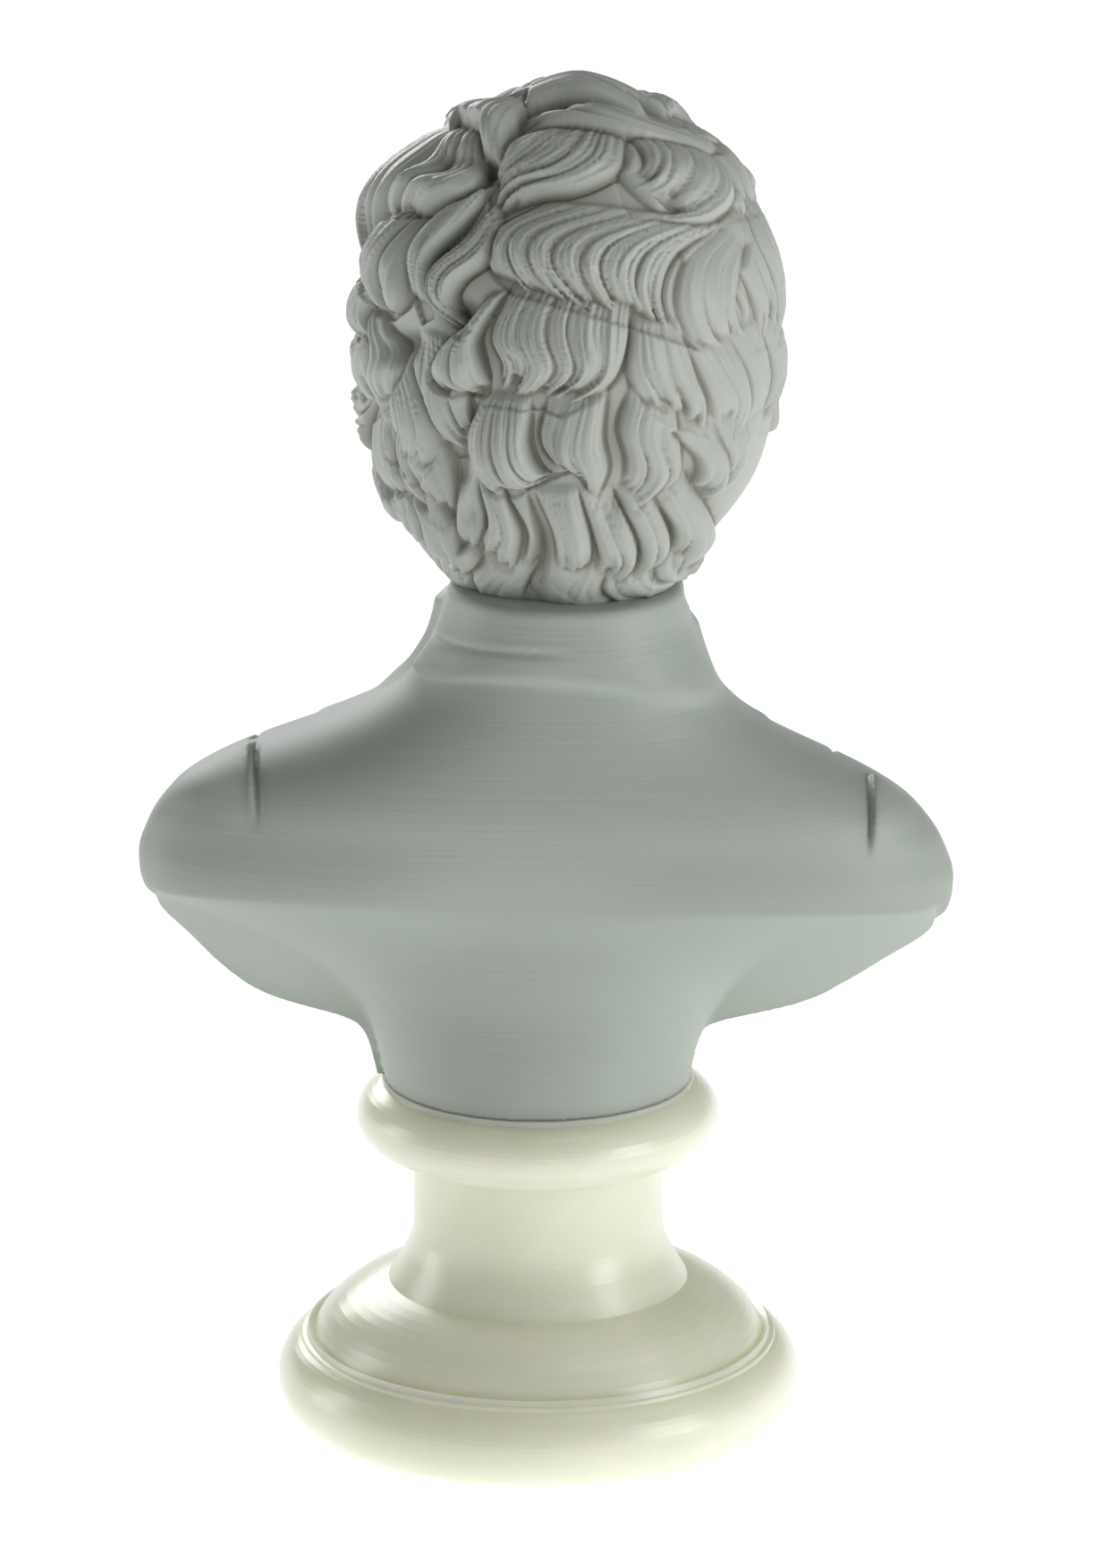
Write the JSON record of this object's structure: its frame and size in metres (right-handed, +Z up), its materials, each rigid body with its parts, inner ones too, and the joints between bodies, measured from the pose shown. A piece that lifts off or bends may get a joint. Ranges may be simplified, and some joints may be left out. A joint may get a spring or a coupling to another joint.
{
  "type": "marble bust",
  "caption": "Portrait bust in cast marble with wavy swept hair and a coat, its head turned, standing on a turned translucent alabaster socle.",
  "frame": {"origin": "centre of the felt pad's underside, on the axis of the turned socle", "axes": "+Z up along the socle's axis, -Y the way the chest faces, +X to the bust's own left"},
  "size_m": [0.145, 0.1029, 0.25],
  "materials": {
    "alabaster": "polished, slightly translucent",
    "torso_marble": "matt, rubbed along level lines",
    "head_marble": "satin, darker in the carved grooves",
    "steel": "zinc-plated",
    "brass": "turned",
    "bedding": "thin white felted card",
    "felt": "felt"
  },
  "bodies": {
    "root": {"socle": "alabaster", "torso": "torso_marble", "head": "head_marble", "neck_dowel": "steel", "foot_insert": "brass", "threaded_rod": "steel", "bedding_disc": "bedding", "flat_washer": "steel", "spring_washer": "steel", "hex_nut": "steel", "felt_pad": "felt"}
  },
  "joints": []
}
